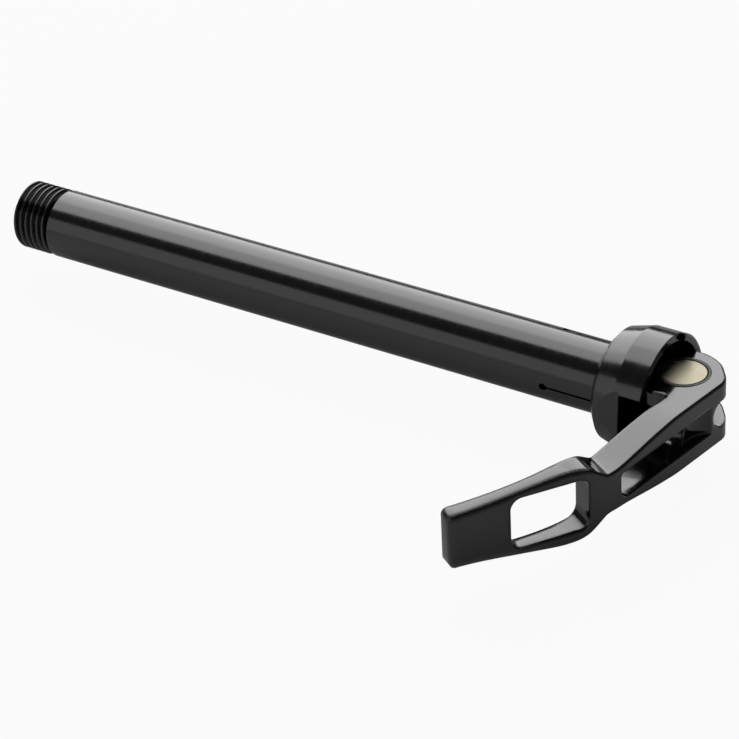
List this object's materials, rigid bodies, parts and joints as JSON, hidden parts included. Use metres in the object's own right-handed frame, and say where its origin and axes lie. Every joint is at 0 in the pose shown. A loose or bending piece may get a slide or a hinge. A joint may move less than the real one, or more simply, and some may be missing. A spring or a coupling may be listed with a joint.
{
  "type": "bicycle thru axle",
  "caption": "Hollow bicycle wheel axle with a threaded end, a slit end that a wedge spreads, a cupped collar and a cam lever with a finger hole.",
  "frame": {"origin": "on the axle's line, at the collar's face that bears on the fork", "axes": "+X along the axle towards the lever, +Z along the lever's pivot pin, closed lever towards -Y"},
  "size_m": [0.1721, 0.0779, 0.0262],
  "materials": {
    "black_anodised": "glossy black anodised",
    "black_gloss": "polished black anodised",
    "champagne_metal": "satin",
    "steel": "satin",
    "plain_aluminium": "turned",
    "brass": "satin",
    "black_plastic": "matt"
  },
  "bodies": {
    "axle": {"axle_tube": "black_anodised", "collar": "black_anodised", "bearing_washer": "brass"},
    "swivel": {"cam_washer": "black_plastic"},
    "rod": {"draw_rod": "steel", "pivot_pin": "champagne_metal", "expander": "plain_aluminium", "expander_nut": "steel"},
    "lever": {"lever": "black_gloss", "upper_bush": "black_plastic", "lower_bush": "black_plastic"}
  },
  "joints": [
    {"name": "lever_swivel", "type": "hinge", "parent": "axle", "child": "swivel", "pos_m": [0, 0, 0], "axis": [1, 0, 0], "continuous": true},
    {"name": "rod_slide", "type": "slide", "parent": "swivel", "child": "rod", "axis": [1, 0, 0], "range_m": [-0.0015, 0]},
    {"name": "lever_pivot", "type": "hinge", "parent": "rod", "child": "lever", "pos_m": [0.0154, 0, 0], "axis": [0, 0, 1], "range_deg": [0, 125]}
  ],
  "couplings": [
    {"joint": "rod_slide", "follows": "lever_pivot", "m_per_rad": -0.00065}
  ]
}
